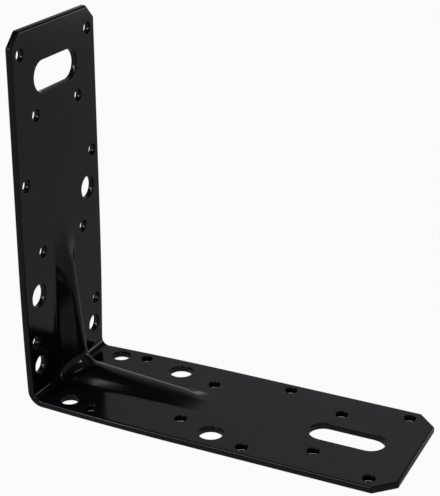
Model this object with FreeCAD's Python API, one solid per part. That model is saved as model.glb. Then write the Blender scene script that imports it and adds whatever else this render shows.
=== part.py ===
import FreeCAD, Part
import math
import os

# Ribbed angle bracket, all sizes in millimetres.
# One strip of steel sheet is blanked, punched, folded to a right angle and
# pressed in the fold, so the whole bracket is one solid of one thickness.
# x runs out along the lying leg, z up the standing leg, y across the width.
# The two outer faces meet, if drawn on, in the line x = 0, z = 0.

# Sheet and outline
sheet = 2.5                     # thickness of the steel
leg_up = 150.0                  # outer height of the standing leg
leg_out = 151.6                 # outer length of the lying leg
free_width = 58.0               # width at the free ends
waist_drop = 1.9                # how far each long edge draws in at the corner
waist_from = 66.0               # distance from the corner where drawing in starts
corner_cut_up = 5.4             # 45 degree corner cuts, standing leg
corner_cut_out = 7.5            # 45 degree corner cuts, lying leg
corner_round = 1.2              # rounding left on the cut corners
bend_inside = 3.4               # inside radius of the fold

# Pressed rib
rib_shift = 0.8                 # sideways offset of the rib from mid width
rib_half_width = 9.6            # foot of the rib at the corner, each side
rib_taper = 0.012               # loss of half width per millimetre of leg
rib_rise_up = 9.0               # rise of the crest, run on to the corner, standing leg
rib_rise_out = 6.5              # the same for the lying leg
rib_full_up = 48.0              # distance where the standing end begins to run out
rib_full_out = 50.0             # the same for the lying leg
rib_low_up = 3.5                # rise left at that place, standing leg
rib_low_out = 2.9               # the same for the lying leg
rib_fade = 21.0                 # length over which each end runs out
crest_inside = 2.0              # radius in the hollow under the top of the rib
foot_radius = 2.5               # largest radius at its foot
foot_share = 0.93               # share of the width two plain arcs may fill
crest_corner = 6.5              # radius of the crest line where the legs meet

# Patch of sheet that carries the rib
patch_margin = 1.5              # flat sheet kept round the rib
columns = 35                    # across the patch
rows_leg = 38                   # along each leg
rows_turn = 13                  # round the fold
fine_start = 0.35               # row spacing at the fold as a share of the mean
band_spans = 2                  # spans between columns that one band of a skin takes
seam = 0.005                    # how closely the patch meets the flat sheet

# Nail holes, five rows of two in each leg
nail = 4.6                      # diameter
last_row_up = 8.9               # free end to the last row, standing leg
last_row_out = 10.5             # the same for the lying leg
last_edge = 5.5                 # long edge to the holes of the last row
fourth_back = 24.8              # last row to the fourth
fourth_half = 15.0              # half the spacing of its holes
third_back = 49.8               # last row to the third
third_edge = 5.0                # long edge to its holes
second_at = 61.4                # corner to the second row
second_half = 15.0              # half the spacing of its holes
first_at = 26.2                 # corner to the first row
first_edge = 6.0                # long edge to its holes

# Screw holes beside the fold, and two staggered bolt holes in each leg
screw = 7.3                     # diameter
screw_at = 15.2                 # corner to the pair
screw_edge = 8.2                # long edge to each
bolt = 9.3                      # diameter
bolt_far_at = 76.6              # corner to the far bolt hole
bolt_far_edge = 9.3             # long edge to it
bolt_near_at = 44.3             # corner to the near one, on the other side
bolt_near_edge = 9.8

# One slot across the standing leg, one along the lying leg
slot_length = 30.0
slot_width = 12.0
slot_back_up = 11.1             # last nail row to the slot's centre, standing leg
slot_back_out = 17.1            # the same for the lying leg

punch_clear = 5.0               # how far cutting tools stand out of the sheet
nothing = 1e-6                  # lengths below this count as none

bend_outside = bend_inside + sheet
crest_radius = crest_inside + sheet
half_width = free_width / 2.0
row_up = leg_up - last_row_up
row_out = leg_out - last_row_out
patch_half_width = rib_half_width + patch_margin
patch_top = rib_full_up + rib_fade + patch_margin
patch_far = rib_full_out + rib_fade + patch_margin


def vec(x, y, z):
    return FreeCAD.Vector(x, y, z)


def leg_outline(length, cut):
    """Flat outline of one leg: distance from the corner in x, width in y.

    The long edge is straight, then an arc tangent to it draws in by the waist
    drop at the corner.  45 degree cuts take off the two free corners."""
    radius = (waist_from ** 2 + waist_drop ** 2) / (2.0 * waist_drop)
    half_way = waist_from / 2.0
    sag = radius - math.sqrt(radius ** 2 - half_way ** 2)
    edges = []
    for side in (1.0, -1.0):
        near = vec(0.0, side * (half_width - waist_drop), 0.0)
        middle = vec(half_way, side * (half_width - sag), 0.0)
        start = vec(waist_from, side * half_width, 0.0)
        shoulder = vec(length - cut, side * half_width, 0.0)
        tip = vec(length, side * (half_width - cut), 0.0)
        edges.append(Part.Arc(near, middle, start).toShape())
        edges.append(Part.makeLine(start, shoulder))
        edges.append(Part.makeLine(shoulder, tip))
    end = half_width - cut
    edges.append(Part.makeLine(vec(length, end, 0.0), vec(length, -end, 0.0)))
    low = half_width - waist_drop
    edges.append(Part.makeLine(vec(0.0, low, 0.0), vec(0.0, -low, 0.0)))
    wire = Part.Wire(Part.__sortEdges__(edges))
    return Part.Face(wire)


def leg_tool(length, cut):
    """The outline made into a block as thick as the fold is deep."""
    block = leg_outline(length, cut).extrude(vec(0.0, 0.0, bend_outside))
    sharp = []
    for edge in block.Edges:
        ends = [v.Point for v in edge.Vertexes]
        upright = math.hypot(ends[0].x - ends[-1].x, ends[0].y - ends[-1].y) < nothing
        if upright and ends[0].x > length - cut - nothing:
            sharp.append(edge)
    return block.makeFillet(corner_round, sharp)


def swap_legs(shape):
    """Mirror in the plane x = z, which turns the lying leg into the standing one."""
    return shape.mirror(vec(0.0, 0.0, 0.0), vec(1.0, 0.0, -1.0).normalize())


def folded_profile():
    """Side view of the folded sheet, an L of constant thickness."""
    r_in = bend_inside
    r_out = bend_outside
    turn = math.sqrt(0.5)
    c = r_out
    points = [vec(c, 0, 0), vec(leg_out, 0, 0), vec(leg_out, 0, sheet), vec(c, 0, sheet)]
    lines = [Part.makeLine(points[i], points[i + 1]) for i in range(3)]
    inner = Part.Arc(points[3], vec(c - r_in * turn, 0, c - r_in * turn), vec(sheet, 0, c))
    more = [vec(sheet, 0, c), vec(sheet, 0, leg_up), vec(0, 0, leg_up), vec(0, 0, c)]
    lines += [Part.makeLine(more[i], more[i + 1]) for i in range(3)]
    outer = Part.Arc(more[3], vec(c - r_out * turn, 0, c - r_out * turn), points[0])
    wire = Part.Wire(Part.__sortEdges__(lines + [inner.toShape(), outer.toShape()]))
    return Part.Face(wire)


def half_space(towards_lying_leg):
    """Everything on one side of the plane x = z, as a large three sided block."""
    far = 2.0 * leg_out
    a = vec(-far, -far, -far)
    b = vec(far, -far, far)
    c = vec(far, -far, -far) if towards_lying_leg else vec(-far, -far, far)
    face = Part.Face(Part.makePolygon([a, b, c, a]))
    return face.extrude(vec(0.0, 2.0 * far, 0.0))


def folded_blank():
    """The folded sheet with its waisted, corner cut outline, before pressing."""
    folded = folded_profile().extrude(vec(0.0, free_width + 2.0 * punch_clear, 0.0))
    folded.translate(vec(0.0, -half_width - punch_clear, 0.0))
    lying = folded.common(half_space(True)).common(leg_tool(leg_out, corner_cut_out))
    up_tool = swap_legs(leg_tool(leg_up, corner_cut_up))
    standing = folded.common(half_space(False)).common(up_tool)
    return lying.fuse(standing).removeSplitter()


def crest_height(d, leg):
    """Rise of the crest: a straight slope that eases out over the fade length."""
    rise, low, full = rib_rise_out, rib_low_out, rib_full_out
    if leg == "up":
        rise, low, full = rib_rise_up, rib_low_up, rib_full_up
    line = rise + (low - rise) * d / full
    share = min(max((d - full) / rib_fade, 0.0), 1.0)
    return max(line, 0.0) * 0.5 * (1.0 + math.cos(math.pi * share))


def rib_height(d, y, leg):
    """Height of the pressed side over the flat sheet.

    The section is an arc over the crest, a straight flank and an arc at the
    foot.  With S the sum of both radii the flank angle solves
    w sin(a) + (S - h) cos(a) = S."""
    h = crest_height(d, leg)
    w = rib_half_width - rib_taper * d
    off = abs(y - rib_shift)
    if h < nothing or off >= w:
        return 0.0
    both = min(crest_radius + foot_radius, foot_share * (w * w + h * h) / (2.0 * h))
    foot = both - crest_radius
    angle = math.asin(both / math.hypot(w, both - h)) - math.atan2(both - h, w)
    if off < crest_radius * math.sin(angle):
        return h - crest_radius + math.sqrt(crest_radius ** 2 - off ** 2)
    if off > w - foot * math.sin(angle):
        return foot - math.sqrt(foot ** 2 - (w - off) ** 2)
    shoulder = h - crest_radius * (1.0 - math.cos(angle))
    return shoulder - (off - crest_radius * math.sin(angle)) * math.tan(angle)


def slope(d, y, leg):
    """Loss of rib height per millimetre of leg."""
    step = 0.01
    return (rib_height(d - step, y, leg) - rib_height(d + step, y, leg)) / (2.0 * step)


def turn_arc(y):
    """Arc that joins both legs at one place across the width.

    It touches the line of either leg, whose places and slopes depend on where
    it touches, so they are worked out again from a first guess until they hold.
    Returns its centre, radius and the two slopes as angles."""
    reach = bend_outside + crest_corner
    share = rib_height(reach, y, "up") / crest_height(reach, "up")
    radius = bend_inside + (crest_corner - bend_inside) * share
    at_up = reach
    at_out = reach
    for _ in range(20):
        lean_up = slope(at_up, y, "up")
        lean_out = slope(at_out, y, "out")
        up = sheet + rib_height(at_up, y, "up") + lean_up * at_up
        out = sheet + rib_height(at_out, y, "out") + lean_out * at_out
        p = up + radius * math.hypot(1.0, lean_up)
        q = out + radius * math.hypot(1.0, lean_out)
        cz = (q - lean_out * p) / (1.0 - lean_out * lean_up)
        cx = p - lean_up * cz
        at_up = cz - radius * math.sin(math.atan(lean_up))
        at_out = cx - radius * math.sin(math.atan(lean_out))
    return cx, cz, radius, math.atan(lean_up), math.atan(lean_out)


def graded(share):
    """Spacing that starts fine at the fold and widens towards the free end."""
    return share * (fine_start + (1.0 - fine_start) * share)


def pressed_line(y):
    """Points and directions down the pressed side at one place across the width."""
    cx, cz, radius, lean_up, lean_out = turn_arc(y)
    z_join = cz - radius * math.sin(lean_up)
    x_join = cx - radius * math.sin(lean_out)
    points = []
    headings = []
    for i in range(rows_leg):
        z = z_join + (patch_top - z_join) * graded(1.0 - i / rows_leg)
        points.append(vec(sheet + rib_height(z, y, "up"), y, z))
        headings.append(vec(slope(z, y, "up"), 0.0, -1.0))
    for i in range(rows_turn + 1):
        turn = lean_up + (math.pi / 2.0 - lean_out - lean_up) * i / rows_turn
        points.append(vec(cx - radius * math.cos(turn), y, cz - radius * math.sin(turn)))
        headings.append(vec(math.sin(turn), 0.0, -math.cos(turn)))
    for i in range(1, rows_leg + 1):
        x = x_join + (patch_far - x_join) * graded(i / rows_leg)
        points.append(vec(x, y, sheet + rib_height(x, y, "out")))
        headings.append(vec(1.0, 0.0, -slope(x, y, "out")))
    return points, headings


def sharpened(rows):
    """Control rows whose cubic curve runs through the given rows of points.

    Each point moves out by a sixth of the second difference at its place, so
    straight stretches stay exactly straight."""
    out = [rows[0]]
    for before, here, after in zip(rows, rows[1:], rows[2:]):
        out.append([p - (a - p * 2.0 + b) * (1.0 / 6.0) for a, p, b in zip(before, here, after)])
    out.append(rows[-1])
    return out


def smooth_skin(grid):
    """Cubic surface through a grid of points, parted into bands down the patch.

    A band is so narrow that triangles can span it from side to side, which
    keeps their number down.  The surface runs on smoothly from band to band."""
    rows = sharpened(grid)
    turned = sharpened([list(column) for column in zip(*rows)])
    poles = [list(row) for row in zip(*turned)]
    spans_u = len(poles) - 3
    spans_v = len(poles[0]) - 3
    surface = Part.BSplineSurface()
    surface.buildFromPolesMultsKnots(poles, [4] + [1] * (spans_u - 1) + [4],
                                     [4] + [1] * (spans_v - 1) + [4],
                                     list(range(spans_u + 1)), list(range(spans_v + 1)),
                                     False, False, 3, 3)
    bands = []
    for start in range(0, spans_u, band_spans):
        band = surface.copy()
        band.segment(start, min(start + band_spans, spans_u), 0, spans_v)
        bands.append(band.toShape())
    return bands


def rib_skins():
    """The pressed side and, one sheet thickness behind it, the hollow side.

    The hollow side is the pressed side moved back along its own normals."""
    aside = 0.01
    front = []
    back = []
    for i in range(columns):
        y = rib_shift + patch_half_width * (2.0 * i / (columns - 1) - 1.0)
        points, headings = pressed_line(y)
        lower = pressed_line(y - aside)[0]
        upper = pressed_line(y + aside)[0]
        front.append(points)
        hollow = []
        for point, heading, a, b in zip(points, headings, lower, upper):
            normal = heading.cross(b - a)
            hollow.append(point - normal.normalize() * sheet)
        back.append(hollow)
    return smooth_skin(front) + smooth_skin(back)


def wall(border, axis, place):
    """Flat face within the edges that lie in one plane across an axis."""
    edges = []
    for edge in border.Edges:
        if all(abs(vertex.Point[axis] - place) < nothing for vertex in edge.Vertexes):
            edges.append(edge)
    return Part.Face(Part.Wire(Part.__sortEdges__(edges)))


def rib_patch():
    """The pressed part of the sheet as a closed solid, cut off square all round."""
    bands = rib_skins()
    up = patch_top
    out = patch_far
    low = rib_shift - patch_half_width
    high = rib_shift + patch_half_width
    corners = []
    for y in (low, high):
        corners.append(Part.makeLine(vec(sheet, y, up), vec(0.0, y, up)))
        corners.append(Part.makeLine(vec(out, y, sheet), vec(out, y, 0.0)))
    border = Part.Compound(bands + corners)
    walls = [wall(border, axis, place) for axis, place in ((0, out), (1, low), (1, high), (2, up))]
    closed = Part.Compound(bands + walls)
    closed.sewShape(seam)
    return Part.makeSolid(closed.Shells[0])


def pressed_sheet():
    """The folded blank with its middle replaced by the pressed patch."""
    window = Part.makeBox(patch_far + punch_clear, 2.0 * patch_half_width,
                          patch_top + punch_clear,
                          vec(-punch_clear, rib_shift - patch_half_width, -punch_clear))
    return folded_blank().cut(window).fuse([rib_patch()], seam).removeSplitter()


def round_punch(d, y, size, standing):
    """Punch at a distance from the corner and a place across the leg."""
    deep = sheet + 2.0 * punch_clear
    if standing:
        return Part.makeCylinder(size / 2.0, deep, vec(-punch_clear, y, d), vec(1, 0, 0))
    return Part.makeCylinder(size / 2.0, deep, vec(d, y, -punch_clear), vec(0, 0, 1))


def leg_punches(standing):
    """All round holes of one leg.

    Both legs have the same rows, and the staggered bolt holes change sides."""
    last = row_up if standing else row_out
    pairs = [(last, half_width - last_edge, nail),
             (last - fourth_back, fourth_half, nail),
             (last - third_back, half_width - third_edge, nail),
             (second_at, second_half, nail),
             (first_at, half_width - first_edge, nail),
             (screw_at, half_width - screw_edge, screw)]
    punches = []
    for d, y, size in pairs:
        punches.append(round_punch(d, y, size, standing))
        punches.append(round_punch(d, -y, size, standing))
    hand = 1.0 if standing else -1.0
    far = hand * (half_width - bolt_far_edge)
    near = -hand * (half_width - bolt_near_edge)
    punches.append(round_punch(bolt_far_at, far, bolt, standing))
    punches.append(round_punch(bolt_near_at, near, bolt, standing))
    return punches


def slot_punch():
    """Slot tool with round ends, length along x, through z."""
    straight = slot_length - slot_width
    deep = sheet + 2.0 * punch_clear
    bar = Part.makeBox(straight, slot_width, deep,
                       vec(-straight / 2.0, -slot_width / 2.0, -punch_clear))
    left = Part.makeCylinder(slot_width / 2.0, deep, vec(-straight / 2.0, 0, -punch_clear))
    right = Part.makeCylinder(slot_width / 2.0, deep, vec(straight / 2.0, 0, -punch_clear))
    return bar.fuse([left, right]).removeSplitter()


def slot_punches():
    """One slot lies across the standing leg, the other along the lying leg."""
    lying = slot_punch()
    lying.translate(vec(row_out - slot_back_out, 0.0, 0.0))
    standing = slot_punch()
    standing.rotate(vec(0, 0, 0), vec(0, 0, 1), 90.0)
    standing.translate(vec(row_up - slot_back_up, 0.0, 0.0))
    return [lying, swap_legs(standing)]


def angle_bracket():
    punches = leg_punches(True) + leg_punches(False) + slot_punches()
    return pressed_sheet().cut(punches)


os.makedirs("parts", exist_ok=True)
bracket = angle_bracket()
box = bracket.BoundBox
print("solids", len(bracket.Solids), "valid", bracket.isValid(), "faces", len(bracket.Faces))
print("volume", round(bracket.Volume, 2), "area", round(bracket.Area, 2))
print("box", [round(v, 3) for v in (box.XMin, box.YMin, box.ZMin, box.XMax, box.YMax, box.ZMax)])
bracket.exportStep("parts/angle_bracket.step")
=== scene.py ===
# %% [markdown]
# # Ribbed angle bracket
# The object is one strip of steel sheet, punched, folded to a right angle and
# pressed in the fold, then coated in glossy black. The packed solid is loaded
# first, as a fixed frame: everything made below has to land exactly on it.

# %% Load the frame
import math

import bmesh
import bpy
import numpy as np
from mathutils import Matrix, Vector
from mathutils.geometry import delaunay_2d_cdt


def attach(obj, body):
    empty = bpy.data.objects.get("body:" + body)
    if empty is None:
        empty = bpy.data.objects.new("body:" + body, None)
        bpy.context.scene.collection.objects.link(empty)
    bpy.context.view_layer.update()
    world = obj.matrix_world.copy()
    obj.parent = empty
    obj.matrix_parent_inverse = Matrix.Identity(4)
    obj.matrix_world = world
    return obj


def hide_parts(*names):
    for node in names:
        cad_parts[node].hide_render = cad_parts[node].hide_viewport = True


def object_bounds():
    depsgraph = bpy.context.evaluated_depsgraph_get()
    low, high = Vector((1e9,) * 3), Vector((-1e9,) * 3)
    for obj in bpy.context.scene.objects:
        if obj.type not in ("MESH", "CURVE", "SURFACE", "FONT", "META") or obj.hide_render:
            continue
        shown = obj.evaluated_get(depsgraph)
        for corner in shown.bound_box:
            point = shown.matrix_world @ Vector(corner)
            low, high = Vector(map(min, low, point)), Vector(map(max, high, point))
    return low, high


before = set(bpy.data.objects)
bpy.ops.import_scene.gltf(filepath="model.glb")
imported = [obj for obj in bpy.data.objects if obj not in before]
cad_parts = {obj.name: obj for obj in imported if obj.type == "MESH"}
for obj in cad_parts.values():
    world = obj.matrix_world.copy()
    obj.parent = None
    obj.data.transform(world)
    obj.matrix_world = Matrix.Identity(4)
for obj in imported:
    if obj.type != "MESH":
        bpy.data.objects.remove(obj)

mm = 0.001
cad_box = [list(corner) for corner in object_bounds()]
print("frame box in mm", np.round(np.array(cad_box) / mm, 2).tolist())

# %% [markdown]
# ## Sizes
# A maker would dimension this bracket by its sheet, its two legs, the fold, the
# rib and the hole rows. The same few sizes drive the modelled sheet here. They
# are in millimetres, and only the finished mesh is turned into metres. The leg
# lengths and the width are read from the frame, so they can't drift from it.
# The long sides draw in a little towards the fold, which is the waist.

# %% Sizes of the sheet and the fold
leg_length = {"up": cad_box[1][2] / mm, "out": cad_box[1][0] / mm}
half_width = cad_box[1][1] / mm
sheet = 2.5
bend_inside = 3.4
bend_outside = bend_inside + sheet
waist_drop = 1.9
waist_from = 66.0
corner_cut = {"up": 5.4, "out": 7.5}
corner_round = 1.2
print("legs", {leg: round(length, 2) for leg, length in leg_length.items()},
      "half width", round(half_width, 2))

# %% [markdown]
# The rib stands a little off the middle. Its crest falls in a straight line
# from the rise at the corner to the low rise at the end of its full stretch,
# and then fades into the flat sheet. The taper is the half width that it loses
# per millimetre of leg, and its far side, at positive y, is the narrower one.
# The crest's radii are those of the hollow behind it, plus the sheet.

# %% Sizes of the pressed rib
rib_shift = 0.8
rib_half_width = 10.2
rib_taper = {"up": 0.03, "out": 0.032}
rib_far_share = 0.82
rib_rise = {"up": 9.0, "out": 6.5}
rib_low = {"up": 3.5, "out": 2.9}
rib_full = {"up": 48.0, "out": 50.0}
rib_fade = 21.0
crest_radius = {"up": 2.0 + sheet, "out": 7.0 + sheet}
foot_radius = {"up": 2.5, "out": 1.3}
foot_share = 0.96
crest_corner = 6.5
strip_margin = 1.0
strip_half = rib_half_width + strip_margin
strip_end = {leg: rib_full[leg] + rib_fade + strip_margin for leg in rib_full}
print("strip of sheet that carries the rib:", 2.0 * strip_half, "wide")

# %% [markdown]
# Both legs have the same scheme of holes: rows of nail holes near the sides and
# in the middle, a pair of screw holes near the fold, two bolt holes on opposite
# sides, and a slot near the free end. Rows near the end are placed back from
# the last row, and the others out from the corner, as on a maker's drawing.

# %% Places of the holes
nail = 4.6
screw = 7.3
bolt = 9.3
slot_length = 30.0
slot_width = 12.0
end_margin = {"up": 8.9, "out": 10.5}
last_row = {leg: leg_length[leg] - end_margin[leg] for leg in leg_length}
middle_back = 24.8
side_back = 49.8
slot_back = {"up": 11.1, "out": 17.1}
bolt_far = 76.6
middle_near = 61.4
bolt_near = 44.3
side_near = 26.2
screw_row = 15.2
middle_aside = 15.0
edge_gap = {"last": 5.5, "back": 5.0, "near": 6.0, "screw": 8.2, "bolt_far": 9.3, "bolt_near": 9.8}


def leg_holes(leg):
    """Round holes of one leg as (distance from the corner, place across, diameter)."""
    last = last_row[leg]
    pairs = [(last, half_width - edge_gap["last"], nail),
             (last - middle_back, middle_aside, nail),
             (last - side_back, half_width - edge_gap["back"], nail),
             (middle_near, middle_aside, nail),
             (side_near, half_width - edge_gap["near"], nail),
             (screw_row, half_width - edge_gap["screw"], screw)]
    holes = [(d, side * y, size) for d, y, size in pairs for side in (1.0, -1.0)]
    hand = 1.0 if leg == "up" else -1.0
    holes.append((bolt_far, hand * (half_width - edge_gap["bolt_far"]), bolt))
    holes.append((bolt_near, -hand * (half_width - edge_gap["bolt_near"]), bolt))
    return holes


print("round holes in a leg:", len(leg_holes("up")))

# %% [markdown]
# ## The sheet as a flat pattern
# On the shop floor the outline and the holes exist on a flat blank before the
# press folds it. The model follows that order: every edge is drawn on a flat
# pattern with a coordinate u along the strip and y across it, and one function
# folds any point of the pattern into space. Rounded edges, holes and flats
# then share that one fold, which keeps them in exact contact.

# %% Fold the pattern
fold_half = bend_inside * math.pi / 4.0


def folded(u, y, depth):
    """Places a point of the flat pattern, depth below the inner face.

    Within fold_half of the middle the sheet turns on a circle round the fold's
    centre, whose radius is the inside radius plus the depth. Past it the sheet
    runs on straight: up for negative u, out along x for positive u."""
    u, y, depth = np.broadcast_arrays(u, y, depth)
    turn = np.clip(u / fold_half, -1.0, 1.0) * math.pi / 4.0 + math.pi / 4.0
    radius = bend_inside + depth
    x = bend_outside - radius * np.cos(turn) + np.maximum(u - fold_half, 0.0)
    z = bend_outside - radius * np.sin(turn) + np.maximum(-u - fold_half, 0.0)
    return np.stack([x, y + 0.0 * x, z], axis=-1)


def pattern_place(d, leg):
    """Pattern coordinate of a distance d from the corner along one leg: the
    distance past the fold's end, plus half of the fold, negative going up."""
    along = d - bend_outside + fold_half
    return along if leg == "out" else -along


print("fold covers", round(2.0 * fold_half, 2), "mm of the inner face")

# %% [markdown]
# ## The rib's surface
# The rib is a dart pushed into the fold: highest at the corner, sinking along
# both legs and easing out into flat sheet. Across, it is an arc over the
# crest, a straight flank and an arc at the foot. Written as a height over the
# leg, it is a function of two parameters, the distance from the corner and the
# place across, and numpy works out the whole grid at once.

# %% Height of the rib
least_height = 1e-9
flat_height = 1e-6
lean_step = 0.01


def crest_height(d, leg):
    """A straight slope from the rise at the corner to the low rise, times half
    of one plus a cosine that eases it to nothing over the fade length."""
    rise, low, full = rib_rise[leg], rib_low[leg], rib_full[leg]
    line = np.maximum(rise + (low - rise) * d / full, 0.0)
    share = np.clip((d - full) / rib_fade, 0.0, 1.0)
    return line * 0.5 * (1.0 + np.cos(math.pi * share))


def rib_height(d, y, leg):
    """Arc, straight flank and arc across the rib.

    With S the sum of both radii, w the half width and h the crest height, the
    flank angle a solves w sin(a) + (S - h) cos(a) = S. The sum is capped at a
    share of (w w + h h) / 2 h, above which no flank would be left."""
    h = np.maximum(crest_height(d, leg), least_height)
    w = (rib_half_width - rib_taper[leg] * d) * np.where(y > rib_shift, rib_far_share, 1.0)
    off = np.abs(y - rib_shift)
    crest = crest_radius[leg]
    both = np.minimum(crest + foot_radius[leg], foot_share * (w * w + h * h) / (2.0 * h))
    foot = both - crest
    angle = np.arcsin(both / np.hypot(w, both - h)) - np.arctan2(both - h, w)
    over = h - crest + np.sqrt(np.maximum(crest ** 2 - off ** 2, 0.0))
    flank = h - crest * (1.0 - np.cos(angle)) - (off - crest * np.sin(angle)) * np.tan(angle)
    under = foot - np.sqrt(np.maximum(foot ** 2 - (w - off) ** 2, 0.0))
    height = np.where(off < crest * np.sin(angle), over, flank)
    height = np.where(off > w - foot * np.sin(angle), under, height)
    return np.where((off >= w) | (h < flat_height), 0.0, height)


def rib_lean(d, y, leg):
    """Loss of height per millimetre of leg, by a central difference."""
    fall = rib_height(d - lean_step, y, leg) - rib_height(d + lean_step, y, leg)
    return fall / (2.0 * lean_step)


print("crest at 10 mm:", round(float(crest_height(10.0, "up")), 2), "up",
      round(float(crest_height(10.0, "out")), 2), "out")

# %% [markdown]
# Where the two legs' crests meet, the die leaves a small fillet. At each place
# across the width it is an arc that touches both legs' lines. Where it touches
# depends on the slopes there, so the arc is solved by going round a few times.

# %% Arc that joins both legs
arc_rounds = 25


def turn_arc(y):
    """Centre, radius and the two touching angles of the arc at each y.

    The radius grows with the rib's height, from the fold's inside radius to
    the crest's corner radius. The centre lies one radius off the two tangents,
    which solves as two lines in x and z, and the tangents are then renewed."""
    reach = bend_outside + crest_corner
    share = rib_height(reach, y, "up") / crest_height(reach, "up")
    radius = bend_inside + (crest_corner - bend_inside) * share
    at_up = np.full_like(y, reach)
    at_out = np.full_like(y, reach)
    for _ in range(arc_rounds):
        lean_up = rib_lean(at_up, y, "up")
        lean_out = rib_lean(at_out, y, "out")
        p = sheet + rib_height(at_up, y, "up") + lean_up * at_up + radius * np.hypot(1.0, lean_up)
        q = sheet + rib_height(at_out, y, "out") + lean_out * at_out + radius * np.hypot(1.0, lean_out)
        cz = (q - lean_out * p) / (1.0 - lean_out * lean_up)
        cx = p - lean_up * cz
        at_up = cz - radius * np.sin(np.arctan(lean_up))
        at_out = cx - radius * np.sin(np.arctan(lean_out))
    return cx, cz, radius, np.arctan(lean_up), np.arctan(lean_out)


corner_arc = turn_arc(np.array([rib_shift]))
print("arc under the crest has a radius of", round(float(corner_arc[2][0]), 2))

# %% [markdown]
# Pressed sheet keeps its thickness, so the outer face isn't a second drawing:
# it is the inner face moved back by one sheet along its normals. That gives
# the rib its hollow at the back for nothing. The grid's rows are closer
# together near the fold, where the surface turns most.

# %% Rows and columns of the rib strip
rows_leg = 110
rows_turn = 36
strip_columns = 65
first_row_share = 0.35
even = np.linspace(0.0, 1.0, rows_leg + 1)
row_share = even * (first_row_share + (1.0 - first_row_share) * even)
fold_u = np.linspace(-fold_half, fold_half, rows_turn + 1)
strip_y = rib_shift + strip_half * np.linspace(-1.0, 1.0, strip_columns)
print("rib grid", 2 * rows_leg + rows_turn + 1, "by", strip_columns)

# %% Both faces of the rib strip
aside_step = 0.01


def pressed_rows(y):
    """Grid of points down the strip for an array of places y, and the
    direction along the strip at each: standing leg from its top down, the
    arc, then the lying leg outwards."""
    cx, cz, radius, lean_up, lean_out = turn_arc(y)
    join_z = cz - radius * np.sin(lean_up)
    join_x = cx - radius * np.sin(lean_out)
    z = join_z + (strip_end["up"] - join_z) * row_share[:0:-1, None]
    x = join_x + (strip_end["out"] - join_x) * row_share[1:, None]
    share = np.linspace(0.0, 1.0, rows_turn + 1)[:, None]
    turn = lean_up + (math.pi / 2.0 - lean_out - lean_up) * share
    up = np.stack([sheet + rib_height(z, y, "up"), y + 0.0 * z, z], axis=-1)
    arc = np.stack([cx - radius * np.cos(turn), y + 0.0 * turn, cz - radius * np.sin(turn)], axis=-1)
    out = np.stack([x, y + 0.0 * x, sheet + rib_height(x, y, "out")], axis=-1)
    up_way = np.stack([rib_lean(z, y, "up"), 0.0 * z, -np.ones_like(z)], axis=-1)
    arc_way = np.stack([np.sin(turn), 0.0 * turn, -np.cos(turn)], axis=-1)
    out_way = np.stack([np.ones_like(x), 0.0 * x, -rib_lean(x, y, "out")], axis=-1)
    return np.concatenate([up, arc, out]), np.concatenate([up_way, arc_way, out_way])


def rib_faces():
    """Inner face and, one sheet thickness behind it along the normals, the
    outer face. The normal is the way along the strip crossed with the way
    across it, taken from two lines that lie one small step to each side."""
    inner, along = pressed_rows(strip_y)
    across = pressed_rows(strip_y + aside_step)[0] - pressed_rows(strip_y - aside_step)[0]
    normal = np.cross(along, across)
    normal /= np.linalg.norm(normal, axis=-1, keepdims=True)
    return inner, inner - normal * sheet


rib_inner, rib_outer = rib_faces()
print("rib reaches x", round(float(rib_inner[rows_leg:rows_leg + rows_turn, :, 0].max()), 2))

# %% [markdown]
# ## Edges of the sheet
# Shears and punches leave a small rounding where they enter and a tighter
# edge where they leave, and the coat thickens on both. Those roundings catch
# the light as thin lines, so every outline and hole gets a real rounded rim:
# one profile of inset and depth, carried along the edge of the flat pattern.

# %% Rim profile and loop normals
rim_band = 0.06


def rim_profile(round_in, deep_in, round_out, steps):
    """Inset and depth from the inner face round to the outer face: a narrow
    flat band, a quarter ellipse, the wall, a quarter circle, a flat band."""
    turn = np.linspace(0.0, math.pi / 2.0, steps + 1)
    first = np.stack([round_in * (1.0 - np.sin(turn)), deep_in * (1.0 - np.cos(turn))], axis=-1)
    last = np.stack([round_out * (1.0 - np.cos(turn)), sheet - round_out * (1.0 - np.sin(turn))], axis=-1)
    return np.concatenate([[[round_in + rim_band, 0.0]], first, last, [[round_out + rim_band, sheet]]])


def loop_normals(loop):
    """Unit normals to the left of a closed loop: the mean direction of the two
    edges at each point, turned by a right angle. They point into the sheet
    when the outline runs round it against the clock."""
    ahead = np.roll(loop, -1, axis=0) - loop
    ahead /= np.linalg.norm(ahead, axis=1, keepdims=True)
    way = ahead + np.roll(ahead, 1, axis=0)
    way /= np.linalg.norm(way, axis=1, keepdims=True)
    return np.stack([-way[:, 1], way[:, 0]], axis=-1)


print("points in a rim profile:", len(rim_profile(1.0, 1.0, 0.5, 4)))

# %% [markdown]
# The blank's outline is one long side and its mirror image. Its points next to
# the fold sit on the same rows as the rib strip's, so that the sheet between
# them can be a plain grid. The free ends have their corners cut at 45 degrees,
# with a small round on each side of the cut, as shears and a file leave them.

# %% Long side of the blank
corner_steps = 6
waist_points = 34
tip_points = 14
tip_clear = 2.0


def edge_width(d):
    """Half width of the sheet at a distance d from the corner: straight, then
    an arc that draws in by the waist drop. The arc's radius is the sum of the
    squares of its length and its drop, over twice the drop."""
    radius = (waist_from ** 2 + waist_drop ** 2) / (2.0 * waist_drop)
    short = np.maximum(waist_from - d, 0.0)
    return half_width - radius + np.sqrt(radius ** 2 - short ** 2)


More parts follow.
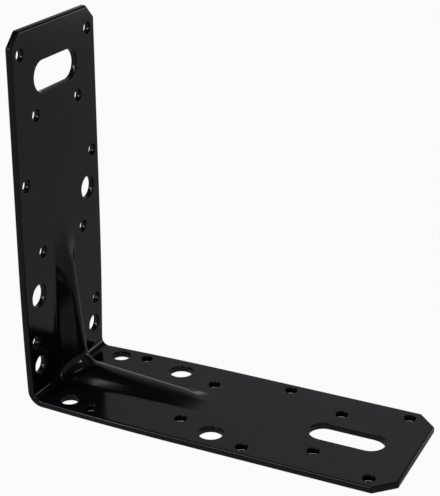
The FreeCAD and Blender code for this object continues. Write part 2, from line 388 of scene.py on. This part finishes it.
def tip_corner(leg):
    """Points round one cut corner at a free end, as distance and place across:
    a small arc off the long edge, the 45 degree cut, a small arc on to the end."""
    length, cut = leg_length[leg], corner_cut[leg]
    steps = np.linspace(0.0, math.pi / 4.0, corner_steps + 1)
    rest = math.pi / 4.0 - steps
    back = corner_round * math.tan(math.pi / 8.0)
    start = np.array([length - cut - back, half_width - corner_round])
    finish = np.array([length - corner_round, half_width - cut - back])
    first = start + corner_round * np.stack([np.sin(steps), np.cos(steps)], axis=-1)
    last = finish + corner_round * np.stack([np.cos(rest), np.sin(rest)], axis=-1)
    return np.concatenate([first, last])


def border_row(leg, share):
    """Distance from the corner of a row, where the strip's border is straight."""
    return bend_outside + (strip_end[leg] - bend_outside) * share


def leg_side(leg):
    """One leg's long side on the pattern, from the row next to the fold to the
    tip and round its cut corner."""
    row = border_row(leg, row_share[1])
    straight_end = leg_length[leg] - corner_cut[leg] - tip_clear
    d = np.concatenate([[row], np.linspace(row, waist_from, waist_points)[1:],
                        np.linspace(waist_from, straight_end, tip_points)[1:]])
    side = np.stack([pattern_place(d, leg), edge_width(d)], axis=-1)
    tip = tip_corner(leg)
    tip = np.stack([pattern_place(tip[:, 0], leg), tip[:, 1]], axis=-1)
    return np.concatenate([side, tip])


print("half width at the fold", round(float(edge_width(0.0)), 2))

# %% Outline of the blank
def blank_side():
    """One long side from the standing tip through the fold to the lying tip.
    In the fold the distance from the corner is the larger of x and z."""
    inner = folded(fold_u, 0.0, 0.0)
    from_corner = np.maximum(inner[:, 0], inner[:, 2])
    fold_part = np.stack([fold_u, edge_width(from_corner)], axis=-1)
    return np.concatenate([leg_side("up")[::-1], fold_part, leg_side("out")])


side = blank_side()
mirrored = side[::-1] * np.array([1.0, -1.0])
outline = np.concatenate([side, mirrored])[::-1]
print("outline has", len(outline), "points")

# %% [markdown]
# Holes run the other way round from the outline, so that the sheet is on the
# left of every loop and one rim function serves them all. A larger hole gets
# more points, because its facets would show sooner.

# %% Loops of the punched holes
circle_points = 28
circle_points_per_mm = 2
slot_arc_points = 25


def round_loop(d, y, size, leg):
    """Circle that runs with the clock, so its left side is sheet."""
    count = circle_points + circle_points_per_mm * int(size)
    turn = -np.arange(count) * 2.0 * math.pi / count
    centre = np.array([pattern_place(d, leg), y])
    return centre + size / 2.0 * np.stack([np.cos(turn), np.sin(turn)], axis=-1)


def slot_loop(leg, across):
    """Two half circles and the straights between them, with the clock."""
    turn = np.linspace(math.pi / 2.0, -math.pi / 2.0, slot_arc_points)
    radius = slot_width / 2.0
    reach = (slot_length - slot_width) / 2.0
    half = np.stack([reach + radius * np.cos(turn), radius * np.sin(turn)], axis=-1)
    loop = np.concatenate([half, -half])
    if across:
        loop = np.stack([loop[:, 1], -loop[:, 0]], axis=-1)
    return loop + np.array([pattern_place(last_row[leg] - slot_back[leg], leg), 0.0])


hole_loops = {leg: [round_loop(*hole, leg) for hole in leg_holes(leg)] for leg in ("up", "out")}
hole_loops["up"].append(slot_loop("up", across=True))
hole_loops["out"].append(slot_loop("out", across=False))
print("punched loops:", {leg: len(loops) for leg, loops in hole_loops.items()})

# %% [markdown]
# ## Putting the sheet together
# The mesh is a sum of patches: the rib strip, the sides of the fold, the rims
# and the flats between them. Patches share their border points, so merging
# doubles closes the solid. Only the flats are triangulated, by Delaunay with
# the borders as constraints. They are plane, so their triangles never show.

# %% Collect patches
patch_points = []
patch_faces = []


def add_patch(points, faces):
    """Appends points in mm and faces as index rows, shifted to the joint list."""
    start = sum(len(chunk) for chunk in patch_points)
    patch_points.append(points.reshape(-1, 3))
    patch_faces.extend((faces + start).tolist())


def grid_faces(rows, columns, closed=False):
    """Index rows of the quads of a grid; closed joins the last row to the first."""
    i, j = np.meshgrid(np.arange(rows if closed else rows - 1), np.arange(columns - 1), indexing="ij")
    here = i * columns + j
    below = ((i + 1) % rows) * columns + j
    return np.stack([here, here + 1, below + 1, below], axis=-1).reshape(-1, 4)


for face in (rib_inner, rib_outer):
    add_patch(face, grid_faces(*face.shape[:2]))
print("rib strip quads:", len(patch_faces))

# %% [markdown]
# Sheared long edges are rounder than punched holes. A hole's rounding is
# narrow but deep, because the punch drags the sheet's surface down with it,
# and where the punch leaves, the edge is nearly sharp.

# %% Rims
edge_rounding = (0.9, 0.9, 0.3)
edge_steps = 5
hole_rounding = (0.35, 0.8, 0.08)
hole_steps = 4
borders = {"inner": {}, "outer": {}}


def rim_points(loop, profile):
    """Every loop point times every profile point: the loop point moved inwards
    by the inset along its normal, at the profile's depth."""
    normal = loop_normals(loop)
    flat = loop[:, None, :] + normal[:, None, :] * profile[None, :, :1]
    return flat, folded(flat[..., 0], flat[..., 1], profile[None, :, 1])


def add_rim(name, loop, rounding, steps):
    """Adds the rim of one loop and keeps its two borders on the pattern, where
    the flats of the inner and the outer face begin."""
    profile = rim_profile(*rounding, steps)
    flat, points = rim_points(loop, profile)
    add_patch(points, grid_faces(*points.shape[:2], closed=True))
    borders["inner"][name] = flat[:, 0]
    borders["outer"][name] = flat[:, -1]


add_rim("outline", outline, edge_rounding, edge_steps)
for leg, loops in hole_loops.items():
    for number, loop in enumerate(loops):
        add_rim("%s_%d" % (leg, number), loop, hole_rounding, hole_steps)
print("faces with rims:", len(patch_faces))

# %% [markdown]
# Beside the rib the sheet is simply bent, so between the strip and the rim a
# ruled grid on the pattern is enough: straight lines across, and the fold
# function bends them.

# %% Sides of the fold
side_columns = 13
row_slack = 0.1
fold_rows = slice(rows_leg - 1, rows_leg + rows_turn + 2)
strip_u = np.concatenate([pattern_place(border_row("up", row_share[:0:-1]), "up"), fold_u,
                          pattern_place(border_row("out", row_share[1:]), "out")])
side_flats = {}


def fold_side(face, hand):
    """Ruled grid on the pattern from the strip's border to the rim's border."""
    border = borders[face]["outline"]
    border = border[np.sign(border[:, 1]) == hand]
    border = border[np.argsort(border[:, 0])]
    rows = strip_u[fold_rows]
    first = np.searchsorted(border[:, 0], rows[0] - row_slack)
    rim = border[first:first + len(rows)]
    strip = np.stack([rows, np.full_like(rows, rib_shift + hand * strip_half)], axis=-1)
    share = np.linspace(0.0, 1.0, side_columns)[None, :, None]
    return strip[:, None] * (1.0 - share) + rim[:, None] * share


for face, depth in (("inner", 0.0), ("outer", sheet)):
    for hand in (1.0, -1.0):
        flat = fold_side(face, hand)
        side_flats[face, hand] = flat
        add_patch(folded(flat[..., 0], flat[..., 1], depth), grid_faces(*flat.shape[:2]))
print("fold side rows reach u", round(float(side_flats["inner", 1.0][0, 0, 0]), 2),
      round(float(side_flats["inner", 1.0][-1, 0, 0]), 2))

# %% [markdown]
# What is left of each leg is flat, with an outer border made of pieces that
# exist by now and a loop for each hole. The triangulation also fills the
# holes, so triangles whose middle lies inside a hole are taken out again.

# %% Flats of the legs
triangles_inside = 1
same_point = 1e-6


def inside(points, loop):
    """Even-odd rule: counts the loop's edges that a ray along +u crosses."""
    a = loop[None]
    b = np.roll(loop, -1, axis=0)[None]
    p = points[:, None]
    spans = (a[..., 1] > p[..., 1]) != (b[..., 1] > p[..., 1])
    rise = np.where(spans, b[..., 1] - a[..., 1], 1.0)
    meet = a[..., 0] + (p[..., 1] - a[..., 1]) / rise * (b[..., 0] - a[..., 0])
    return (np.sum(spans & (p[..., 0] < meet), axis=1) % 2) == 1


def leg_border(face, leg):
    """Closed border of one leg's flat: round the free end by the rim, then
    along the fold's side rows and round the rib strip back to the start."""
    sign = 1.0 if leg == "out" else -1.0
    row = -1 if leg == "out" else 0
    edge_row = {hand: side_flats[face, hand][row] for hand in (1.0, -1.0)}
    border = borders[face]["outline"]
    far = sign * border[:, 0] > sign * edge_row[1.0][-1, 0] + row_slack
    first = np.flatnonzero(far & ~np.roll(far, 1))[0]
    outer = np.roll(border, -first, axis=0)[:np.count_nonzero(far)]
    hand = np.sign(outer[-1, 1])
    rows = strip_u[strip_u * sign > sign * edge_row[1.0][0, 0] + same_point]
    rows = rows[np.argsort(rows * sign)]
    near_side = np.stack([rows, np.full_like(rows, rib_shift + hand * strip_half)], axis=-1)
    far_side = np.stack([rows, np.full_like(rows, rib_shift - hand * strip_half)], axis=-1)
    end_y = rib_shift + hand * (strip_y[::-1] - rib_shift)
    end = np.stack([np.full(strip_columns, rows[-1]), end_y], axis=-1)
    return np.concatenate([outer, edge_row[hand][::-1], near_side, end[1:-1],
                           far_side[::-1], edge_row[-hand]])


def add_flat(face, leg, depth):
    """Delaunay triangles between the border and the holes, which stay empty."""
    loops = [leg_border(face, leg)]
    loops += [borders[face]["%s_%d" % (leg, n)] for n in range(len(hole_loops[leg]))]
    points = np.concatenate(loops)
    edges = []
    start = 0
    for loop in loops:
        index = start + np.arange(len(loop))
        edges += np.stack([index, np.roll(index, -1)], axis=-1).tolist()
        start += len(loop)
    found = delaunay_2d_cdt([Vector(p) for p in points], edges, [], triangles_inside, same_point)
    flat = np.array([tuple(p) for p in found[0]])
    triangles = np.array(found[2])
    centre = flat[triangles].mean(axis=1)
    for loop in loops[1:]:
        outside = ~inside(centre, loop)
        triangles, centre = triangles[outside], centre[outside]
    add_patch(folded(flat[:, 0], flat[:, 1], depth), triangles)
    return len(triangles)


for face, depth in (("inner", 0.0), ("outer", sheet)):
    print(face, "flat triangles", [add_flat(face, leg, depth) for leg in ("up", "out")])

# %% [markdown]
# The last step is the weld. An edge that doesn't have exactly two faces would
# mean a gap between patches, so those are counted, and the enclosed volume is
# a second check: it is about the sheet's area times its thickness.

# %% Close the sheet
merge_distance = 0.002 * mm


def closed_mesh(name):
    """Joins the patches, merges doubles and turns the faces outwards."""
    points = np.concatenate(patch_points) * mm
    mesh = bpy.data.meshes.new(name)
    mesh.from_pydata(points.tolist(), [], patch_faces)
    work = bmesh.new()
    work.from_mesh(mesh)
    bmesh.ops.remove_doubles(work, verts=work.verts, dist=merge_distance)
    bmesh.ops.recalc_face_normals(work, faces=work.faces)
    open_edges = sum(1 for edge in work.edges if len(edge.link_faces) != 2)
    volume = work.calc_volume(signed=True)
    if volume < 0.0:
        bmesh.ops.reverse_faces(work, faces=work.faces)
    for one in work.faces:
        one.smooth = True
    work.to_mesh(mesh)
    work.free()
    print("open edges", open_edges, "volume in mm3", round(volume / mm ** 3, 1))
    return mesh


sheet_mesh = closed_mesh("bracket_sheet")
bracket = bpy.data.objects.new("bracket_sheet", sheet_mesh)
bpy.context.collection.objects.link(bracket)
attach(bracket, "root")
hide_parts("angle_bracket")
print("faces", len(sheet_mesh.polygons))

# %% [markdown]
# ## The black coat
# The coat is a hard, glossy black film: nearly all that the eye gets from it
# is a mirror image of the room. What makes it read as paint is small: a very
# shallow orange peel that makes the mirror waver, patches a little less
# glossy, and fine dust. Those come from noise in object space, and feed only
# roughness, colour, the gloss layer's weight and a bump. Shader maths reads
# better as Python expressions, so a small class turns them into nodes.

# %% Expressions for shader maths
class Wire:
    """A socket's value in an expression; the operators add Math nodes."""

    def __init__(self, tree, socket):
        self.tree = tree
        self.socket = socket

    def maths(self, operation, *values, clamp=False):
        """One Math node in this wire's tree on values that are wires or
        numbers; clamp keeps the result from 0 to 1."""
        node = self.tree.nodes.new("ShaderNodeMath")
        node.operation = operation
        node.use_clamp = clamp
        for place, value in enumerate(values):
            if isinstance(value, Wire):
                self.tree.links.new(value.socket, node.inputs[place])
            else:
                node.inputs[place].default_value = value
        return Wire(self.tree, node.outputs[0])

    def __add__(self, other):
        return self.maths("ADD", self, other)

    __radd__ = __add__

    def __mul__(self, other):
        return self.maths("MULTIPLY", self, other)

    __rmul__ = __mul__

    def __sub__(self, other):
        return self.maths("SUBTRACT", self, other)

    def __rsub__(self, other):
        return self.maths("SUBTRACT", other, self)

    def __pow__(self, exponent):
        return self.maths("POWER", self, exponent)

    def __abs__(self):
        return self.maths("ABSOLUTE", self)

    def at_least(self, low):
        """The larger of the value and low."""
        return self.maths("MAXIMUM", self, low)

    def at_most_one(self):
        """The value kept from 0 to 1."""
        return self.maths("ADD", self, 0.0, clamp=True)

    def above(self, low, high):
        """Nothing below low, one above high, even between."""
        return self.maths("MULTIPLY", self - low, 1.0 / (high - low), clamp=True)


print("shader maths:", [name for name in vars(Wire) if not name.startswith("__")])

# %% [markdown]
# Every other node comes from one call: its type, its settings, and a value or
# a wire for each socket. Sockets of one node can share a name, as the two
# colours of a mix and the two vectors of a dot product do, but they never
# share an identifier, so the calls use identifiers.

# %% Nodes by one call
def socket_called(sockets, key):
    """The socket whose identifier, with _ for a space, is the key."""
    return next(one for one in sockets if one.identifier.replace(" ", "_") == key)


class Nodes:
    """Adds nodes to one tree, all by the same call."""

    def __init__(self, tree):
        self.tree = tree

    def feed(self, socket, value):
        """Links a wire to the socket, or sets a plain value on it."""
        if isinstance(value, Wire):
            self.tree.links.new(value.socket, socket)
        else:
            socket.default_value = value

    def node(self, kind, settings=None, output=None, **sockets):
        """Adds a node: its settings first, then its sockets by identifier. The
        wire that comes back is the named output, or else the first one."""
        node = self.tree.nodes.new(kind)
        for key, value in (settings or {}).items():
            setattr(node, key, value)
        for key, value in sockets.items():
            self.feed(socket_called(node.inputs, key), value)
        end = socket_called(node.outputs, output) if output else node.outputs[0]
        return Wire(self.tree, end)

    def colour_mix(self, share, first, second):
        """The first colour where share is 0, the second where it is 1."""
        return self.node("ShaderNodeMix", {"data_type": "RGBA"}, output="Result_Color",
                         Factor_Float=share, A_Color=first, B_Color=second)


class Finish(Nodes):
    """A new material with its shader and the place on the piece."""

    def __init__(self, name):
        self.material = bpy.data.materials.new(name)
        self.material.use_nodes = True
        super().__init__(self.material.node_tree)
        self.shader = self.tree.nodes["Principled BSDF"]
        self.surface = Wire(self.tree, self.shader.outputs[0])
        self.place = self.node("ShaderNodeTexCoord", output="Object")

    def noise(self, scale, detail=2.0, roughness=0.5):
        """Noise in object space, with scale waves to the metre."""
        return self.node("ShaderNodeTexNoise", Vector=self.place, Scale=scale, Detail=detail,
                         Roughness=roughness)

    def set(self, **sockets):
        """Sets or links sockets of the shader."""
        for key, value in sockets.items():
            self.feed(socket_called(self.shader.inputs, key), value)

    def show(self, surface):
        """Makes a wire the material's surface."""
        self.feed(self.tree.nodes["Material Output"].inputs["Surface"], surface)


print("node helpers:", [name for name in vars(Nodes) if not name.startswith("__")])

# %% [markdown]
# Black gloss paint is nearly black below and clear on top. The base gets no
# gloss of its own, so the clear layer alone makes the mirror, and one number,
# its weight, sets how much of the room the coat shows. The orange peel is two
# noises added up, one about 2 mm and one about 17 mm across, and the dust is
# the very peaks of a much finer one.

# %% Black coat
coat_colour = (0.0022, 0.0022, 0.0028, 1.0)
base_roughness = 0.35
gloss_weight = 0.225
gloss_roughness = 0.13
gloss_index = 1.5
peel_scale = 420.0
ripple_scale = 60.0
ripple_share = 2.0
peel_strength = 0.25
peel_depth = 0.02 * mm
haze_scale = 35.0
haze_detail = 4.0
haze_grain = 0.6
haze_range = (0.35, 0.75)
haze_adds_roughness = 0.1
haze_takes_gloss = 0.02
dust_colour = (0.009, 0.009, 0.01, 1.0)
dust_scale = 2600.0
dust_range = (0.72, 0.78)
dust_share = 0.35


def black_coat():
    """Near black base under a thin clear gloss, with peel, haze and dust."""
    coat = Finish("gloss_black")
    peel = coat.noise(peel_scale, detail=1.0)
    ripple = coat.noise(ripple_scale, detail=1.0)
    haze = coat.noise(haze_scale, haze_detail, haze_grain).above(*haze_range)
    dust = coat.noise(dust_scale, detail=0.0).above(*dust_range)
    bump = coat.node("ShaderNodeBump", Strength=peel_strength, Distance=peel_depth,
                     Height=peel + ripple_share * ripple)
    coat.set(Base_Color=coat.colour_mix(dust * dust_share, coat_colour, dust_colour),
             Roughness=base_roughness + haze_adds_roughness * haze,
             Specular_IOR_Level=0.0,
             Coat_Weight=gloss_weight - haze_takes_gloss * haze,
             Coat_Roughness=gloss_roughness,
             Coat_IOR=gloss_index,
             Normal=bump)
    return coat.material


sheet_mesh.materials.append(black_coat())
print("materials", [m.name for m in sheet_mesh.materials])

# %% [markdown]
# ## Floor, light and camera
# The bracket stands on a white floor that runs on out of sight. Most of the
# floor's white is its own, so that it stays white to the eye and in the
# gloss, and the rest is lit, so that the bracket keeps its soft shadow. Own
# white can't darken, though, and would shine through the lying leg's nail
# holes, where a real floor gets next to no light. So a mask takes it away
# right below them and paints the floor's colour nearly black there instead:
# painted shade in the holes.

# %% Painted shade in the nail holes
spot_softness = 0.05


def under_nail_holes(floor):
    """Mask of painted shade: one on the floor in the lying leg's nail holes, and
    nothing elsewhere: a spot is where the squared distance to a hole's middle is
    under the squared radius, and the size of y stands for both sides of the leg."""
    x = floor.node("ShaderNodeSeparateXYZ", output="X", Vector=floor.place)
    aside = abs(floor.node("ShaderNodeSeparateXYZ", output="Y", Vector=floor.place))
    total = 0.0
    for d, across, size in leg_holes("out"):
        if size == nail and across > 0.0:
            from_x = x - d * mm
            from_y = aside - across * mm
            squared = (size / 2.0 * mm) ** 2
            spot = squared - (from_x * from_x + from_y * from_y)
            total = total + spot.above(0.0, spot_softness * squared)
    return total


print("nail holes that shade the floor:", sum(size == nail for _, _, size in leg_holes("out")))

# %% Floor material
floor_colour = (0.86, 0.86, 0.86, 1.0)
# Near-black floor colour below the lying leg's nail holes: painted shade.
painted_shade_colour = (0.03, 0.03, 0.03, 1.0)
plain_white = (1.0, 1.0, 1.0, 1.0)
floor_roughness = 0.9
floor_gloss = 0.2
floor_own_white = 0.96


def white_floor():
    """Pale matt floor, mixed with plain white for the camera, mirrors and glass, with painted shade under
    the nail holes.
    """
    floor = Finish("white_floor")
    shade = under_nail_holes(floor)
    # Inside the mask the floor's colour goes to near black: painted shade.
    floor.set(Base_Color=floor.colour_mix(shade, floor_colour, painted_shade_colour),
              Roughness=floor_roughness, Specular_IOR_Level=floor_gloss)
    own_white = floor.node("ShaderNodeEmission", Color=plain_white, Strength=1.0)
    rays = [floor.node("ShaderNodeLightPath", output=kind)
            for kind in ("Is_Camera_Ray", "Is_Glossy_Ray", "Is_Transmission_Ray")]
    share = sum(rays).at_most_one() * floor_own_white * (1.0 - shade)
    floor.show(floor.node("ShaderNodeMixShader", Fac=share, Shader=floor.surface,
                          Shader_001=own_white))
    return floor.material


floor_material = white_floor()
print("floor nodes", len(floor_material.node_tree.nodes))

# %% [markdown]
# A flat floor alone would end at a horizon, with a dark band above it in low
# views and in the gloss. A cove, as photographers use, turns the floor up into
# a low wall of the same white. It is a profile turned once round the vertical,
# far enough out to stay clear of the object in every view.

# %% Floor with a cove
floor_middle = 1.0
floor_reach = 10.0
cove_radius = 2.0
wall_top = 2.6
cove_sides = 64
cove_steps = 12


def cove_surface():
    """Profile of a flat floor, a quarter circle and a short wall, turned once
    round the vertical; the first ring is a small circle closed by one face."""
    turn = np.linspace(0.0, math.pi / 2.0, cove_steps + 1)
    wall = floor_reach + cove_radius
    reach = np.concatenate([[floor_middle], floor_reach + cove_radius * np.sin(turn), [wall]])
    rise = np.concatenate([[0.0], cove_radius * (1.0 - np.cos(turn)), [wall_top]])
    way = np.arange(cove_sides)[:, None] * 2.0 * math.pi / cove_sides
    points = np.stack([reach * np.cos(way), reach * np.sin(way), rise + 0.0 * way], axis=-1)
    faces = grid_faces(*points.shape[:2], closed=True)[:, ::-1].tolist()
    middle = list(range(0, len(reach) * cove_sides, len(reach)))
    return points.reshape(-1, 3), faces + [middle]


floor_points, floor_faces = cove_surface()
floor_mesh = bpy.data.meshes.new("studio_floor")
floor_mesh.from_pydata(floor_points.tolist(), [], floor_faces)
floor_mesh.shade_smooth()
floor_mesh.materials.append(floor_material)
studio_floor = bpy.data.objects.new("studio_floor", floor_mesh)
bpy.context.collection.objects.link(studio_floor)
print("floor", 2.0 * floor_reach, "m wide, facing up:", floor_mesh.polygons[-1].normal.z > 0.0)

# %% [markdown]
# Black gloss shows what is around it more than what falls on it, so the room
# is drawn first. It is dim all over, with a broad bright side behind the
# bracket that the lying leg mirrors, and weaker ones to the right and the left
# that its other sides mirror. Each is a cosine raised to a power, which fades
# out with no edge.

# %% World
room_level = 0.1
room_colour = (0.95, 0.97, 1.0, 1.0)
bright_sides = [
    {"azimuth": 112.0, "elevation": 28.0, "narrow": 8.0, "strength": 1.05},
    {"azimuth": 103.0, "elevation": 36.0, "narrow": 60.0, "strength": 0.4},
    {"azimuth": -25.0, "elevation": 45.0, "narrow": 6.0, "strength": 0.7},
    {"azimuth": -165.0, "elevation": 15.0, "narrow": 12.0, "strength": 0.8}]
world = bpy.data.worlds.new("studio")
bpy.context.scene.world = world
world.use_nodes = True
room = Nodes(world.node_tree)
view_way = room.node("ShaderNodeTexCoord", output="Generated")


def towards(azimuth, elevation):
    """Unit vector for an azimuth, 0 along x and 90 along y, and an elevation."""
    a, e = math.radians(azimuth), math.radians(elevation)
    return Vector((math.cos(e) * math.cos(a), math.cos(e) * math.sin(a), math.sin(e)))


def glow(azimuth, elevation, narrow, strength):
    """Light that fades away from one direction: strength times the cosine of
    the angle to it, raised to a power."""
    facing = room.node("ShaderNodeVectorMath", {"operation": "DOT_PRODUCT"}, output="Value",
                       Vector=view_way, Vector_001=towards(azimuth, elevation))
    return facing.at_least(0.0) ** narrow * strength


background = room.tree.nodes["Background"]
room.feed(background.inputs["Color"], room_colour)
room.feed(background.inputs["Strength"], room_level + sum(glow(**one) for one in bright_sides))
print("world nodes", len(room.tree.nodes))

# %% [markdown]
# Sharp highlights come from softboxes. A box is placed by the direction in
# which the gloss sees it, and given a radiance, the brightness that its mirror
# image has. Two boxes and a small lamp at the front left give the lying rib's
# near flank its sheen and the holes' rims their dots. A small box at the front
# draws the glints at the fold, and a strip on the right lights the standing
# crest. Three low strips behind line the lying crest. They are nested, so that
# their image is brightest in the middle.

# %% Lights
lit_place = Vector((0.06, 0.0, 0.05))
white = (1.0, 1.0, 1.0)
daylight = (0.93, 0.96, 1.0)
nested_shares = (1.0, 0.7, 0.4)
nested_gap = 0.03


def softbox(name, azimuth, elevation, distance, size, radiance, colour=white):
    """Area light of a width and height, seen from the object in a direction.
    It emits power / (pi * area) as radiance, so the power follows from it."""
    way = towards(azimuth, elevation)
    lamp = bpy.data.lights.new(name, "AREA")
    lamp.shape = "RECTANGLE"
    lamp.size, lamp.size_y = size
    lamp.energy = radiance * math.pi * size[0] * size[1]
    lamp.color = colour
    holder = bpy.data.objects.new(name, lamp)
    holder.location = lit_place + way * distance
    holder.rotation_euler = way.to_track_quat("Z", "Y").to_euler()
    holder.visible_camera = False
    bpy.context.collection.objects.link(holder)


softbox("front_left_box", azimuth=-117.0, elevation=52.0, distance=1.4, size=(0.42, 0.5),
        radiance=12.0, colour=daylight)
softbox("left_box", azimuth=-125.0, elevation=27.0, distance=1.4, size=(0.36, 0.5),
        radiance=8.0, colour=daylight)
softbox("left_lamp", azimuth=-125.0, elevation=31.0, distance=1.38, size=(0.12, 0.16),
        radiance=40.0, colour=daylight)
softbox("front_box", azimuth=-54.0, elevation=18.0, distance=1.4, size=(0.15, 0.15),
        radiance=60.0, colour=daylight)
softbox("right_strip", azimuth=57.0, elevation=1.0, distance=0.7, size=(0.24, 0.18),
        radiance=6.5)
for number, share in enumerate(nested_shares):
    softbox("back_strip_%d" % number, azimuth=112.0, elevation=7.0,
            distance=1.4 + nested_gap * number, size=(1.2 * share, 0.46 * share), radiance=0.65)

# %% [markdown]
# The camera was worked out from the hole rows in the photograph: where it
# stood, what it looked at, and how long its lens was. The principal point is a
# few pixels off the middle of the frame, which is the small shift.

# %% Camera
frame_wide = 440
frame_high = 496
focal_pixels = 1334.9
principal_x = 212.3
principal_y = 239.4
camera_place = Vector((0.2676, -0.4147, 0.2632))
camera_aim = Vector((0.0614, 0.0132, 0.0667))
lens = bpy.data.cameras.new("photo_camera")
lens.sensor_width = 36.0
lens.lens = focal_pixels / frame_high * lens.sensor_width
lens.shift_x = (frame_wide / 2.0 - principal_x) / frame_high
lens.shift_y = (principal_y - frame_high / 2.0) / frame_high
lens.clip_start = 0.01
camera = bpy.data.objects.new("photo_camera", lens)
camera.location = camera_place
camera.rotation_euler = (camera_aim - camera_place).to_track_quat("-Z", "Y").to_euler()
bpy.context.collection.objects.link(camera)
bpy.context.scene.camera = camera
bpy.context.scene.view_settings.view_transform = "Standard"
print("lens", round(lens.lens, 2), "shift", round(lens.shift_x, 4), round(lens.shift_y, 4))

# %% [markdown]
